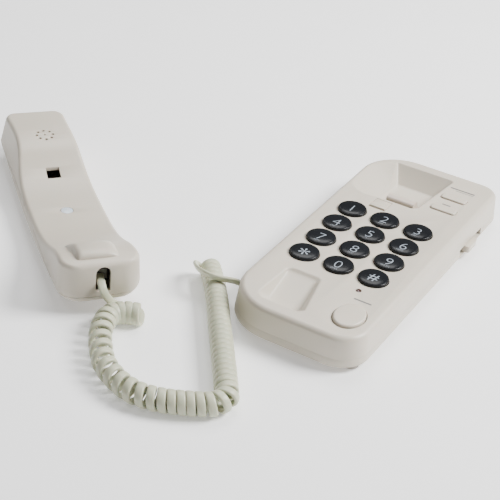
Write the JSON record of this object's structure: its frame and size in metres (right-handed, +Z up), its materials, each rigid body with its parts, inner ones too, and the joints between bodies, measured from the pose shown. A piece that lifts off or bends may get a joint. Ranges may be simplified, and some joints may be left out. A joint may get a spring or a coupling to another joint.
{
  "type": "slimline corded wall telephone",
  "caption": "Slim corded push-button telephone: flat base with keypad and handset recesses, separate slim handset and curly cord between them.",
  "frame": {"origin": "middle of the footprint of base and handset together, at the height of the table they stand on", "axes": "+X along the keypad's rows from the first key to the third, +Y towards the earpiece end of the base, +Z up"},
  "size_m": [0.3022, 0.3039, 0.0346],
  "materials": {
    "housing": "fine-textured warm light grey ABS",
    "housing_under": "fine-textured warm light grey ABS, underside",
    "key_black": "glossy black with grey-white printed legends",
    "button_ivory": "smooth warm light grey",
    "plunger_beige": "smooth beige, self-coloured",
    "lamp_red": "dark red clear plastic",
    "mat_rubber": "grey silicone",
    "board_green": "green printed circuit board",
    "black_plastic": "black moulded plastic",
    "screw_steel": "zinc-plated steel",
    "spring_steel": "bare spring steel",
    "foot_rubber": "warm grey rubber",
    "screw_cover": "pale bluish translucent plastic",
    "weight_steel": "plain cast iron",
    "plug_clear": "clear plastic",
    "cord_ivory": "slightly greenish ivory PVC"
  },
  "bodies": {
    "base": {"top_housing": "housing", "bottom_cover": "housing_under", "lamp_lens": "lamp_red", "keypad_mat": "mat_rubber", "keypad_board": "board_green", "main_board": "board_green", "buzzer": "black_plastic", "ringer_switch_body": "black_plastic", "base_cord_jack": "black_plastic", "line_jack": "black_plastic", "base_screw_1": "screw_steel", "base_screw_2": "screw_steel", "base_screw_3": "screw_steel", "base_screw_4": "screw_steel", "plunger_spring": "spring_steel", "foot_1": "foot_rubber", "foot_2": "foot_rubber", "foot_3": "foot_rubber", "foot_4": "foot_rubber", "base_cord_plug": "plug_clear", "cord_coil": "cord_ivory", "cord_lead_handset": "cord_ivory", "cord_lead_base": "cord_ivory"},
    "key_1": {"key_1": "key_black"},
    "key_2": {"key_2": "key_black"},
    "key_3": {"key_3": "key_black"},
    "key_4": {"key_4": "key_black"},
    "key_5": {"key_5": "key_black"},
    "key_6": {"key_6": "key_black"},
    "key_7": {"key_7": "key_black"},
    "key_8": {"key_8": "key_black"},
    "key_9": {"key_9": "key_black"},
    "key_star": {"key_star": "key_black"},
    "key_0": {"key_0": "key_black"},
    "key_hash": {"key_hash": "key_black"},
    "oval_button": {"oval_button": "button_ivory"},
    "mute_button": {"mute_button": "button_ivory"},
    "flash_button": {"flash_button": "button_ivory"},
    "hook_plunger": {"hook_plunger": "plunger_beige"},
    "ringer_knob": {"ringer_switch_knob": "button_ivory"},
    "handset_hook": {"handset_hook": "button_ivory"},
    "handset": {"handset_inner_shell": "housing", "handset_outer_shell": "housing", "handset_screw": "screw_steel", "screw_cover": "screw_cover", "receiver_capsule": "black_plastic", "microphone_capsule": "screw_steel", "ballast_weight": "weight_steel", "handset_jack": "black_plastic", "handset_cord_plug": "plug_clear"}
  },
  "joints": [
    {"name": "key_1_press", "type": "slide", "parent": "base", "child": "key_1", "axis": [0, 0, -1], "range_m": [0, 0.0015], "stiffness_N_per_m": 400, "springref_m": -0.00045},
    {"name": "key_2_press", "type": "slide", "parent": "base", "child": "key_2", "axis": [0, 0, -1], "range_m": [0, 0.0015], "stiffness_N_per_m": 400, "springref_m": -0.00045},
    {"name": "key_3_press", "type": "slide", "parent": "base", "child": "key_3", "axis": [0, 0, -1], "range_m": [0, 0.0015], "stiffness_N_per_m": 400, "springref_m": -0.00045},
    {"name": "key_4_press", "type": "slide", "parent": "base", "child": "key_4", "axis": [0, 0, -1], "range_m": [0, 0.0015], "stiffness_N_per_m": 400, "springref_m": -0.00045},
    {"name": "key_5_press", "type": "slide", "parent": "base", "child": "key_5", "axis": [0, 0, -1], "range_m": [0, 0.0015], "stiffness_N_per_m": 400, "springref_m": -0.00045},
    {"name": "key_6_press", "type": "slide", "parent": "base", "child": "key_6", "axis": [0, 0, -1], "range_m": [0, 0.0015], "stiffness_N_per_m": 400, "springref_m": -0.00045},
    {"name": "key_7_press", "type": "slide", "parent": "base", "child": "key_7", "axis": [0, 0, -1], "range_m": [0, 0.0015], "stiffness_N_per_m": 400, "springref_m": -0.00045},
    {"name": "key_8_press", "type": "slide", "parent": "base", "child": "key_8", "axis": [0, 0, -1], "range_m": [0, 0.0015], "stiffness_N_per_m": 400, "springref_m": -0.00045},
    {"name": "key_9_press", "type": "slide", "parent": "base", "child": "key_9", "axis": [0, 0, -1], "range_m": [0, 0.0015], "stiffness_N_per_m": 400, "springref_m": -0.00045},
    {"name": "key_star_press", "type": "slide", "parent": "base", "child": "key_star", "axis": [0, 0, -1], "range_m": [0, 0.0015], "stiffness_N_per_m": 400, "springref_m": -0.00045},
    {"name": "key_0_press", "type": "slide", "parent": "base", "child": "key_0", "axis": [0, 0, -1], "range_m": [0, 0.0015], "stiffness_N_per_m": 400, "springref_m": -0.00045},
    {"name": "key_hash_press", "type": "slide", "parent": "base", "child": "key_hash", "axis": [0, 0, -1], "range_m": [0, 0.0015], "stiffness_N_per_m": 400, "springref_m": -0.00045},
    {"name": "oval_button_press", "type": "slide", "parent": "base", "child": "oval_button", "axis": [0, 0, -1], "range_m": [0, 0.0015], "stiffness_N_per_m": 400, "springref_m": -0.00045},
    {"name": "mute_button_press", "type": "slide", "parent": "base", "child": "mute_button", "axis": [0, 0, -1], "range_m": [0, 0.001], "stiffness_N_per_m": 400, "springref_m": -0.0003},
    {"name": "flash_button_press", "type": "slide", "parent": "base", "child": "flash_button", "axis": [0, 0, -1], "range_m": [0, 0.001], "stiffness_N_per_m": 400, "springref_m": -0.0003},
    {"name": "hook_plunger_press", "type": "slide", "parent": "base", "child": "hook_plunger", "axis": [0, 0, -1], "range_m": [0, 0.0045], "stiffness_N_per_m": 120, "springref_m": -0.002, "deforming": ["plunger_spring"]},
    {"name": "ringer_switch_slide", "type": "slide", "parent": "base", "child": "ringer_knob", "axis": [0, 1, 0], "range_m": [-0.006, 0.012]},
    {"name": "handset_hook_lift", "type": "slide", "parent": "base", "child": "handset_hook", "axis": [0, 0, 1], "range_m": [0, 0.006]},
    {"name": "handset_lift", "type": "slide", "parent": "base", "child": "handset", "axis": [0, 0, 1], "range_m": [0, 0.12], "deforming": ["cord_coil", "cord_lead_handset", "cord_lead_base"]}
  ]
}
